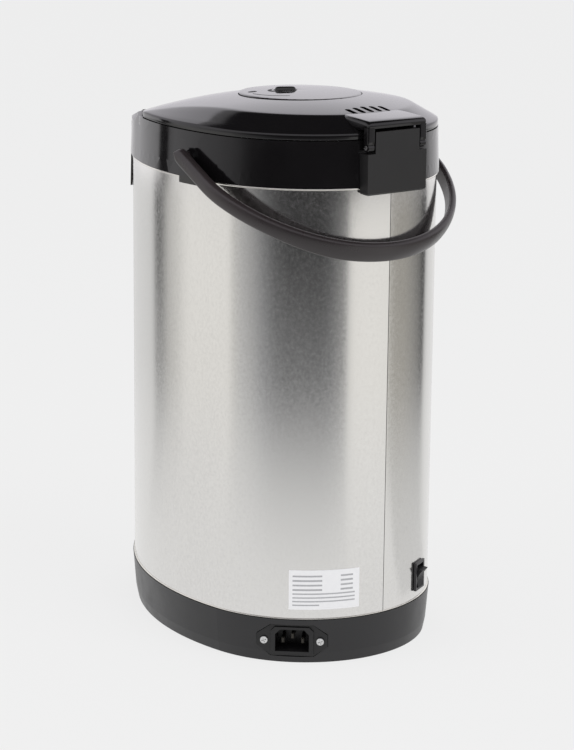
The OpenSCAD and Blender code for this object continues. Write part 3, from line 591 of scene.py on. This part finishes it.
def build_lid():
    bm = bmesh.new()
    dc = [crease_d(t) for t in STATIONS]
    n = len(STATIONS)
    dc = [sum(dc[(i + k) % n] for k in range(-3, 4)) / 7 for i in range(n)]
    low = [367.8 if lid_edge(t, 0.2)[1] < -74 else 372.5 for t in STATIONS]

    def ring(f):
        return [R3(*f(i, t)) for i, t in enumerate(STATIONS)]

    def edge(i, t, d, z):
        x, y = lid_edge(t, d)
        return x, y, z

    def top(i, t, d, drop=0.0):
        x, y = lid_edge(t, d)
        return x, y, lid_z(x, y, d) - drop

    def inner(i, t, k, drop):
        """k 0 at the crease, 1 at the hole of the press plate"""
        x0, y0 = lid_edge(t, dc[i] - 1.6)
        a = math.atan2(y0 - PLATE_Y, x0)
        x1, y1 = (PLATE_R + 1.6) * math.cos(a), PLATE_Y + (PLATE_R + 1.6) * math.sin(a)
        x, y = x0 + (x1 - x0) * k, y0 + (y1 - y0) * k
        return x, y, dome_z(x, y) - drop

    def hole(i, t, r, z):
        x0, y0 = lid_edge(t, dc[i] - 1.6)
        a = math.atan2(y0 - PLATE_Y, x0)
        x, y = r * math.cos(a), PLATE_Y + r * math.sin(a)
        return x, y, z if z is not None else dome_z(x, y)

    rings = [
        ring(lambda i, t: edge(i, t, -2.1, low[i] + 0.1)), ring(lambda i, t: edge(i, t, -0.7, low[i])),
        ring(lambda i, t: edge(i, t, -0.05, low[i] + 0.2)), ring(lambda i, t: edge(i, t, 0.18, low[i] + 0.8)),
        ring(lambda i, t: top(i, t, 0.2, 1.35)), ring(lambda i, t: top(i, t, 0.12, 0.62)), ring(lambda i, t: top(i, t, -0.18, 0.16)),
        ring(lambda i, t: top(i, t, -0.8))]
    for k in (0.25, 0.5, 0.75):
        rings.append(ring(lambda i, t, k=k: top(i, t, -0.8 + (dc[i] + 2.6) * k)))
    rings += [ring(lambda i, t: top(i, t, dc[i] + 1.8, 0.02)), ring(lambda i, t: top(i, t, dc[i] + 0.7, 0.09)),
              ring(lambda i, t: top(i, t, dc[i] - 0.5, 0.09))]
    for k in range(0, 13):
        rings.append(ring(lambda i, t, k=k: inner(i, t, k / 12, 0.0)))
    rings += [ring(lambda i, t: hole(i, t, 44.5, None)), ring(lambda i, t: (lambda p: (p[0], p[1], p[2] - 0.12))(hole(i, t, 44.2, None))),
              ring(lambda i, t: (lambda p: (p[0], p[1], p[2] - 0.5))(hole(i, t, 44.02, None))),
              ring(lambda i, t: hole(i, t, 44.0, 366.2)), ring(lambda i, t: hole(i, t, 46.0, 366.2)), ring(lambda i, t: hole(i, t, 46.0, 388.0))]
    for k in range(11, -1, -1):
        rings.append(ring(lambda i, t, k=k: inner(i, t, k / 12, 2.4)))
    rings.append(ring(lambda i, t: top(i, t, -2.3, 2.4)))
    loft(bm, rings, wrap=True)
    return bm


def cut_with(ob, tool_bm):
    """Cuts a closed shape out of ob, for good."""
    me = bpy.data.meshes.new("cutter")
    bmesh.ops.recalc_face_normals(tool_bm, faces=tool_bm.faces)
    tool_bm.to_mesh(me)
    tool_bm.free()
    tool = bpy.data.objects.new("cutter", me)
    SC.collection.objects.link(tool)
    mod = ob.modifiers.new("cut", "BOOLEAN")
    mod.operation, mod.solver, mod.object = "DIFFERENCE", "EXACT", tool
    dg = bpy.context.evaluated_depsgraph_get()
    new = bpy.data.meshes.new_from_object(ob.evaluated_get(dg), depsgraph=dg)
    ob.modifiers.clear()
    ob.data = new
    bpy.data.objects.remove(tool)
    return ob


def vent_tools():
    bm = bmesh.new()
    for i in range(-2, 3):
        y0, y1, w = 79.5 + abs(i) * 0.8, 92.8, 2.0
        pts = [(i * 7.3 + w * cosd(a), y1 - w + w * sind(a)) for a in range(0, 181, 20)]
        pts += [(i * 7.3 + w * cosd(a), y0 + w + w * sind(a)) for a in range(180, 361, 20)]
        loft(bm, [[R3(x, y, 372.0) for x, y in pts], [R3(x, y, 400.0) for x, y in pts]])
    return bm


def build_arm(bm):
    """Arm that carries the lid over the hinge, with a leg at each end."""
    stations = [(88.0, 24.0, 387.3, 383.5), (92.0, 25.2, 387.35, 381.0), (96.0, 25.8, 387.15, 379.0), (101.0, 26.0, 386.9, 378.4),
                (107.0, 26.0, 386.5, 378.3), (112.0, 26.0, 386.1, 378.9), (115.0, 26.0, 385.8, 379.9), (117.0, 26.0, 385.45, 380.1),
                (118.2, 25.85, 385.0, 380.15), (118.9, 25.5, 384.5, 380.3), (119.3, 24.9, 383.8, 380.8)]
    rings = []
    for y, w, zt, zb in stations:
        c, h = (zt + zb) / 2, (zt - zb) / 2
        rings.append([R3(x, y, c + z) for x, z in rounded_rect(w, h, 2.75, 5)])
    loft(bm, rings)
    for s in (-1, 1):
        rr = []
        for z, a, b in ((369.6, 2.5, 2.3), (369.8, 2.8, 2.6), (370.4, 2.98, 2.8), (372.0, 2.98, 2.8), (376.0, 2.98, 2.8), (381.2, 2.98, 2.8)):
            rr.append([R3(s * 23.0 + x, 116.6 + y, z) for x, y in rounded_rect(a, b, 0.9, 4)])
        loft(bm, rr)
        # knuckle round the pin
        kn = []
        for x in (20.3, 20.6, 25.2, 25.5):
            q = 3.0 if x in (20.6, 25.2) else 2.7
            kn.append([R3(s * x, 116.4 + q * cosd(a), 367.6 + q * sind(a)) for a in range(0, 360, 15)])
        loft(bm, kn)
        # web between leg and knuckle
        loft(bm, [[R3(s * 23.0 + x, 115.9 + y, z) for x, y in rounded_rect(2.2, 1.7, 0.6, 3)] for z in (367.6, 368.6, 370.6)])


lid_bm = build_lid()
lid = add_piece("lid_dome", lid_bm, "gloss", "lid", "gloss_black", ("lid_shell",), 30.0)
cut_with(lid, vent_tools())
lid.data.polygons.foreach_set("use_smooth", [True] * len(lid.data.polygons))
lid.data.set_sharp_from_angle(angle=math.radians(30))
arm_bm = bmesh.new()
build_arm(arm_bm)
add_piece("lid_arm", arm_bm, "gloss", "lid", "gloss_black", (), 40.0)


# ---- handle: one bent bar with a soft D section, rounded ends and its two pivots
def handle_path():
    """Centre line on the +X half, from the pivot end to the middle: (x, y, direction angle)."""
    a, v, rc, phi = 102.0, 31.4, 67.0, 17.0
    rb = rc + 35 / cosd(phi)
    c = v - 35 * math.tan(math.radians(phi))
    pts = [(a, y, 90.0) for y in (-5.96, -5.7, -5.2, -4.4, -3.4, -2.2, -1.0, 0.6, 5.0, 12.0, 20.0, 26.0)]
    pts += [(35 + rc * cosd(t), v + rc * sind(t), 90.0 + t) for t in [phi * i / 6 for i in range(7)]]
    pts += [(rb * cosd(t), c + rb * sind(t), 90.0 + t) for t in [phi + (90.0 - phi) * i / 24 for i in range(1, 25)]]
    return pts


def handle_section(w, t):
    """Half width w across the bar, half thickness t; the outer face is crowned."""
    r = min(2.0, w * 0.8)
    pts = rounded_rect(w, t, r, 5)
    face = [((pts[5][0]) * (1 - 2 * j / 8), t) for j in range(1, 8)]
    return [(x, y - 1.5 * (x / w) ** 2 if y > 0 else y) for x, y in pts[:6] + face + pts[6:]]


def build_handle():
    half = handle_path()
    full = half + [(-x, y, 360.0 - d + 0.0) for x, y, d in half[-2::-1]]
    bm = bmesh.new()
    ct, st = cosd(-28.1), sind(-28.1)
    rings = []
    for i, (x, y, d) in enumerate(full):
        if i < len(half):
            nx, ny = sind(d), -cosd(d)
        else:
            j = len(full) - 1 - i
            dx = half[j][2]
            nx, ny = -sind(dx), -cosd(dx)
        w = 6.0 if y >= 0 else max(0.5, math.sqrt(max(0.0, 36.0 - y * y)))
        k = max(0.0, min(1.0, (92.0 - abs(x)) / 55.0))
        k = 1.6 * k * k * (3 - 2 * k)
        ring = []
        for sw, stt in handle_section(w + k, 3.0):
            lx, ly, lz = x + nx * stt, y + ny * stt, sw - k
            ring.append(R3(lx, 9.5 + ly * ct - lz * st, 354.5 + ly * st + lz * ct))
        rings.append(ring)
    loft(bm, rings)
    for s in (-1, 1):
        kn = []
        for x, q in ((86.9, 3.4), (87.3, 3.9), (98.6, 3.9), (100.2, 3.7)):
            kn.append([R3(s * x, 9.5 + q * cosd(a), 354.5 + q * sind(a)) for a in range(0, 360, 15)])
        loft(bm, kn)
    return bm


add_piece("handle_bar", build_handle(), "handle", "bail", "handle_brown", ("handle",), 40.0)


# ---- beads of bright steel where the jacket meets the ring and the base
def bead(name, z0, z1, d):
    bm = bmesh.new()
    prof = [(-0.2, z0), (0.35 * d, z0 + 0.03 * (z1 - z0)), (0.85 * d, z0 + 0.2 * (z1 - z0)), (d, (z0 + z1) / 2),
            (0.85 * d, z1 - 0.2 * (z1 - z0)), (0.35 * d, z1 - 0.03 * (z1 - z0)), (-0.2, z1)]
    loft(bm, [[R3(*outline(t, q), z) for t in STATIONS] for q, z in prof], wrap=True)
    return add_piece(name, bm, "bead", "root", "steel_jacket", (), 60.0)


MATS["mark"] = plastic("mark_black", (0.012, 0.012, 0.013), 0.62, 0.00003, 1500, 0.2, 0.06, ior=1.3)
MATS["bead"] = metal("steel_bead", (0.80, 0.78, 0.73), 0.16, (1, 1, 1), 600, 0.05)
bead("jacket_bead_top", 338.3, 340.05, 1.0)
bead("jacket_bead_low", 33.05, 34.1, 0.75)


# ---- painted shade: a dark strip deep in the vertical seam of the jacket, darkening the gap
def seam():
    bm = bmesh.new()
    rings = []
    for z in (34.2, 34.6, 120.0, 230.0, 337.4, 337.8):
        h = 0.12 if z in (34.2, 337.8) else 0.22
        rings.append([R3(x, REAR_Y + REAR_R - 0.32 + y, z) for x, y in rounded_rect(h, 0.16, 0.05, 2)])
    loft(bm, rings)
    return bm


# painted shade: this dark strip stands for the shade in the seam gap
add_piece("seam_shade_strip", seam(), "rubber", "root", "silicone", (), 50.0)


# ---- lock knob: low domed disc with a rounded finger bar, and two small engraved marks beside it
def build_knob():
    bm = bmesh.new()
    prof = [(2.4, 386.1), (2.95, 386.5), (2.95, 392.3), (7.4, 392.35), (8.1, 392.7), (8.15, 393.3), (7.8, 393.9), (7.0, 394.3), (5.5, 394.6), (3.0, 394.8), (0.6, 394.85)]
    loft(bm, [[R3(9.5 + r * cosd(a), 7.0 + r * sind(a), z) for a in range(0, 360, 10)] for r, z in prof])
    rings = []
    for z, k in ((394.0, 1.0), (395.4, 0.98), (396.2, 0.94), (396.8, 0.84), (397.1, 0.66)):
        ring = []
        for x, y in superellipse(40, 7.6 * k, 2.9 * k, 2.6):
            ring.append(R3(9.5 + x * cosd(-28) - y * sind(-28), 7.0 + x * sind(-28) + y * cosd(-28), z))
        rings.append(ring)
    loft(bm, rings)
    return bm


add_piece("knob_domed", build_knob(), "knob", "lock", "knob_black", ("lock_knob",), 38.0)


def plate_top(x, y):
    q = math.hypot(x, y - 12.0)
    return 394.6 - q * q / 1100.0


def marks():
    """Oval sight and curved pointer line moulded into the press plate."""
    bm = bmesh.new()
    rings = []
    for k, h in ((1.0, -0.25), (1.0, 0.02), (0.93, 0.10), (0.6, 0.13)):
        ring = []
        for i in range(28):
            a = 2 * math.pi * i / 28
            x, y = 30.4 + 3.6 * k * math.cos(a), -4.1 + 2.6 * k * math.sin(a)
            ring.append(R3(x, y, plate_top(x, y) + h))
        rings.append(ring)
    loft(bm, rings)
    rings = []
    for i in range(25):
        a = math.radians(-7 + 66 * i / 24)
        w = 0.55 if 0 < i < 24 else 0.2
        ring = []
        for dr, h in ((-w, -0.25), (w, -0.25), (w, 0.05), (0.5 * w, 0.1), (-0.5 * w, 0.1), (-w, 0.05)):
            x, y = (26.5 + dr) * math.cos(a) + 9.5, (26.5 + dr) * math.sin(a) + 7.0
            ring.append(R3(x, y, plate_top(x, y) + h))
        rings.append(ring)
    loft(bm, rings)
    # recess rim in front of the knob
    rings = []
    for i in range(19):
        a = math.radians(-75 + 110 * i / 18)
        w = 1.5 * math.sin(math.pi * (i + 0.6) / 19.2) + 0.1
        ring = []
        for dr, h in ((-w, -0.25), (w, -0.25), (w, 0.05), (0.5 * w, 0.14), (-0.5 * w, 0.14), (-w, 0.05)):
            x, y = (11.2 + dr) * math.cos(a) + 9.5, (11.2 + dr) * math.sin(a) + 7.0
            ring.append(R3(x, y, plate_top(x, y) + h))
        rings.append(ring)
    loft(bm, rings)
    return bm


add_piece("plate_marks", marks(), "mark", "pump", "gloss_black", (), 40.0)


# ---- catch slider, with its finger rib kept below the lid's skyline
def build_latch():
    bm = bmesh.new()
    loft(bm, [[R3(x, -99.8 + y, z) for x, y in rounded_rect(11.0 - q, 7.8 - q, 1.0, 4)] for z, q in ((369.25, 0.3), (369.5, 0.0), (371.3, 0.0), (371.55, 0.3))])
    loft(bm, [[R3(x, -110.4 + y, z) for x, y in rounded_rect(4.4 - q, 3.5 - q, 0.8, 4)] for z, q in ((369.25, 0.3), (369.5, 0.0), (371.2, 0.0), (371.5, 0.5))])
    loft(bm, [[R3(x, -100.5 + y, z) for x, y in rounded_rect(4.5 - q, 3.4 - q, 0.8, 4)] for z, q in ((371.2, 0.0), (375.6, 0.0), (376.3, 0.3), (376.7, 0.9))])
    return bm


add_piece("latch_slider", build_latch(), "fitting", "latch", "fitting_black", ("lid_latch",), 38.0)

# ---- pieces that follow their node, with the edges rounded as moulded
rounded_copy("top_ring_moulding", "top_ring", "gloss", "root", "gloss_black", 0.55, keep=lambda p: p.y > -50 and p.z < 372, sharp=13.0)
rounded_copy("hinge_block_moulding", "hinge_block", "hinge", "root", "hinge_grey", 0.7)
rounded_copy("inlet_moulding", "inlet_body", "inlet", "root", "fitting_black", 0.45)
rounded_copy("inlet_pan_screws", "inlet_screws", "screw", "root", "screw_steel", 0.6)
rounded_copy("switch_frame", "switch_bezel", "fitting", "root", "fitting_black", 0.4)
rounded_copy("switch_key", "switch_rocker", "rocker", "rocker", "rocker_black", 0.5)
rounded_copy("press_plate", "pump_plate", "gloss", "pump", "gloss_black", 0.35)
rounded_copy("head_moulding", "head_cover", "gloss", "root", "gloss_black", 0.8, keep=lambda p: p.z < 340, sharp=13.0)
rounded_copy("front_panel_moulding", "front_panel", "gloss", "root", "gloss_black", 0.8)
rounded_copy("lever_moulding", "cup_lever", "fitting", "lever", "fitting_black", 0.4)
rounded_copy("dispense_key", "dispense_button", "button", "dispense", "button_grey", 0.5)
rounded_copy("reboil_key", "reboil_button", "button", "reboil", "button_grey", 0.5)
rounded_copy("nozzle_moulding", "spout_nozzle", "fitting", "root", "fitting_black", 0.4)
rounded_copy("feet_moulding", "rubber_feet", "rubber", "root", "foot_rubber", 0.5)

# ------------------------------------------------------------------ studio
def stage_mesh(name, verts, faces, mat):
    me = bpy.data.meshes.new(name)
    me.from_pydata(verts, [], faces)
    ob = bpy.data.objects.new(name, me)
    SC.collection.objects.link(ob)
    me.materials.append(mat)
    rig.stage(ob)
    return ob


def make_floor():
    n, r = 96, 14.0
    vs = [(0, 0, 0)] + [(r * math.cos(2 * math.pi * i / n), r * math.sin(2 * math.pi * i / n), 0) for i in range(n)]
    fs = [(0, 1 + i, 1 + (i + 1) % n) for i in range(n)]
    stage_mesh("studio_floor", vs, fs, floor_material())


# Reflector cards stand round the pot: bearing in degrees, glow near the floor, glow higher up, warmth.
CARDS = [
    (200, 0.84, 0.84, 0), (250, 0.76, 0.75, 0), (276, 0.76, 0.73, 0), (285.3, 0.74, 0.72, 0), (288.2, 0.36, 0.10, 0), (294, 0.36, 0.13, 0),
    (299, 0.55, 0.55, 1), (307, 0.70, 0.70, 1), (314, 0.88, 0.90, 1), (344, 0.88, 0.90, 1), (350, 0.68, 0.62, 1), (358, 0.58, 0.50, 0),
    (6, 0.50, 0.40, 0), (18, 0.34, 0.20, -1), (28, 0.24, 0.08, -1), (40, 0.205, 0.04, -1), (64, 0.205, 0.04, -1), (72, 0.24, 0.08, -1), (80, 0.34, 0.20, 0),
    (85, 0.44, 0.30, 0), (87.5, 0.80, 0.80, 1), (92, 0.90, 0.93, 1), (124, 0.90, 0.92, 1), (126, 0.84, 0.86, 1), (127.8, 0.40, 0.37, 3), (142, 0.40, 0.36, 3), (152, 0.35, 0.29, 2),
    (164, 0.26, 0.18, 1), (170, 0.16, 0.05, 0), (174, 0.16, 0.05, 0), (177, 0.66, 0.60, 0), (184, 0.80, 0.80, 0),
]
# The same, level with the top ring: bearing and glow.
RING_CARDS = [
    (200, 1.1), (240, 0.85), (264, 0.85), (271, 1.1), (292.6, 1.15), (294.4, 0.06), (300.2, 0.03), (301.8, 0.6), (306, 0.85), (317, 0.87), (323, 0.76),
    (332, 0.69), (347, 0.58), (355, 0.42), (1, 0.22), (8, 0.08), (20, 0.02), (92, 0.03), (100, 0.42), (160, 0.48), (170, 0.8), (177, 1.2), (185, 1.2),
]


def ring_glow(az):
    n = len(RING_CARDS)
    for i in range(n):
        a, b = RING_CARDS[i], RING_CARDS[(i + 1) % n]
        span = (b[0] - a[0]) % 360.0
        off = (az - a[0]) % 360.0
        if off <= span:
            v = a[1] + (b[1] - a[1]) * (off / span)
            return (v * 1.005, v * 0.99, v * 1.01)
    return (0.8, 0.8, 0.8)


def card_glow(az, z):
    az %= 360.0
    n = len(CARDS)
    for i in range(n):
        a, b = CARDS[i], CARDS[(i + 1) % n]
        span = (b[0] - a[0]) % 360.0
        off = (az - a[0]) % 360.0
        if off <= span:
            k = off / span if span else 0.0
            lo = a[1] + (b[1] - a[1]) * k
            hi = a[2] + (b[2] - a[2]) * k
            w = a[3] + (b[3] - a[3]) * k
            t = max(0.0, min(1.0, (z - 0.02) / 0.2))
            t = t * t * (3 - 2 * t)
            v = lo + (hi - lo) * t
            c = (v * (1 + 0.012 * w), v, v * (1 - 0.028 * w))
            u = max(0.0, min(1.0, (z - 0.222) / 0.03))
            c = tuple(q + (g - q) * u for q, g in zip(c, ring_glow(az)))
            # a brighter, slightly violet card high up, for the top of the lid
            u = max(0.0, min(1.0, (z - 0.34) / 0.06))
            side = max(0.0, min(1.0, (az - 188) / 14, (286 - az) / 14))
            k = 0.92 + 0.5 * max(0.0, min(1.0, (z - 0.42) / 0.2)) * side - 0.3 * max(0.0, min(1.0, (z - 0.72) / 0.2)) * (1 - side)
            return tuple(q + (g * k - q) * u for q, g in zip(c, (1.0, 0.975, 1.03))) + (1.0,)
    return (0.8, 0.8, 0.8, 1.0)


def make_cards():
    """Curved reflector wall. It is seen only in reflections, and neither lights nor shades anything."""
    R = 0.70
    cols, zs = 720, [0.0, 0.02, 0.05, 0.08, 0.11, 0.14, 0.17, 0.2, 0.215, 0.222, 0.232, 0.242, 0.252, 0.3, 0.34, 0.36, 0.38, 0.4, 0.43, 0.46, 0.5, 0.54, 0.58, 0.62, 0.72, 0.82, 0.92, 0.98]
    vs, fs, glow = [], [], []
    # the wall runs on inwards over the floor, fading to the floor's own tone
    rows = [(r, 0.0012, t) for r, t in ((0.2, 1.0), (0.3, 0.96), (0.36, 0.9), (0.43, 0.84), (0.5, 0.75), (0.56, 0.66), (0.63, 0.54), (0.695, 0.41))]
    rows += [(R, z, max(0.0, 0.38 * (1 - z / 0.05))) for z in zs[1:]]
    for r, z, t in rows:
        for i in range(cols):
            a = 2 * math.pi * i / cols
            vs.append((r * math.cos(a), YS * MM + r * math.sin(a), z))
            g = card_glow(math.degrees(a), z)
            az = math.degrees(a)
            dim = max(0.0, min(1.0, (az - 126) / 3, (172 - az) / 6))
            glow.append(tuple(q + (0.858 - 0.13 * dim - q) * t for q in g[:3]) + (1.0,))
    for k in range(len(rows) - 1):
        for i in range(cols):
            j = (i + 1) % cols
            fs.append((k * cols + i, k * cols + j, (k + 1) * cols + j, (k + 1) * cols + i))
    m = bpy.data.materials.new("reflector_cards")
    m.use_nodes = True
    nt = m.node_tree
    nt.nodes.clear()
    out = nt.nodes.new("ShaderNodeOutputMaterial")
    emi = nt.nodes.new("ShaderNodeEmission")
    att = nt.nodes.new("ShaderNodeAttribute")
    att.attribute_name = "glow"
    nt.links.new(att.outputs["Color"], emi.inputs["Color"])
    nt.links.new(emi.outputs[0], out.inputs[0])
    ob = stage_mesh("reflector_cards", vs, fs, m)
    at = ob.data.attributes.new("glow", "FLOAT_COLOR", "POINT")
    for i, c in enumerate(glow):
        at.data[i].color = c
    ob.visible_camera = False
    ob.visible_diffuse = False
    ob.visible_shadow = False
    ob.visible_transmission = False
    ob.visible_volume_scatter = False


def make_world():
    w = bpy.data.worlds.new("studio_world")
    SC.world = w
    w.use_nodes = True
    nt = w.node_tree
    nt.nodes.clear()
    out = nt.nodes.new("ShaderNodeOutputWorld")
    lp = nt.nodes.new("ShaderNodeLightPath")
    tc = nt.nodes.new("ShaderNodeTexCoord")
    sep = nt.nodes.new("ShaderNodeSeparateXYZ")
    nt.links.new(tc.outputs["Generated"], sep.inputs[0])
    # glossy rays: pale to about 40 degrees up, dark above
    ramp = nt.nodes.new("ShaderNodeValToRGB")
    e = ramp.color_ramp.elements
    e[0].position, e[0].color = 0.0, (0.84, 0.84, 0.84, 1)
    e[1].position, e[1].color = 1.0, (0.015, 0.015, 0.016, 1)
    k = e.new(0.667)
    k.color = (0.46, 0.45, 0.465, 1)
    k = e.new(0.690)
    k.color = (0.02, 0.02, 0.022, 1)
    nt.links.new(sep.outputs["Z"], ramp.inputs[0])
    gl = nt.nodes.new("ShaderNodeBackground")
    nt.links.new(ramp.outputs[0], gl.inputs["Color"])
    cam = nt.nodes.new("ShaderNodeBackground")
    cam.inputs["Color"].default_value = (0.863, 0.863, 0.863, 1)
    dif = nt.nodes.new("ShaderNodeBackground")
    dif.inputs["Color"].default_value = (0.75, 0.75, 0.76, 1)
    dif.inputs["Strength"].default_value = 0.85
    m1 = nt.nodes.new("ShaderNodeMixShader")
    m2 = nt.nodes.new("ShaderNodeMixShader")
    nt.links.new(lp.outputs["Is Glossy Ray"], m1.inputs[0])
    nt.links.new(dif.outputs[0], m1.inputs[1])
    nt.links.new(gl.outputs[0], m1.inputs[2])
    nt.links.new(lp.outputs["Is Camera Ray"], m2.inputs[0])
    nt.links.new(m1.outputs[0], m2.inputs[1])
    nt.links.new(cam.outputs[0], m2.inputs[2])
    nt.links.new(m2.outputs[0], out.inputs[0])


def area(name, loc, target, size, power, glossy=False, shape="RECTANGLE", size_y=None):
    li = bpy.data.lights.new(name, "AREA")
    li.shape = shape
    li.size = size
    if size_y:
        li.size_y = size_y
    li.energy = power
    ob = bpy.data.objects.new(name, li)
    SC.collection.objects.link(ob)
    d = (Vector(target) - Vector(loc)).normalized()
    ob.matrix_world = Matrix.Translation(Vector(loc)) @ d.to_track_quat("-Z", "Y").to_matrix().to_4x4()
    ob.visible_camera = False
    ob.visible_glossy = glossy
    return ob


make_floor()
make_cards()
make_world()
area("key_soft", (-0.2, 1.6, 2.1), (0, 0, 0.2), 1.4, 14.0, size_y=1.4)
area("fill_soft", (2.0, -0.6, 1.4), (0, 0, 0.2), 1.2, 8.0, size_y=1.2)

# ------------------------------------------------------------------ end
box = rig.bounds()
json.dump({"cad": CAD_BOX, "visual": [list(map(float, p)) for p in box]}, open("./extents.json", "w"))
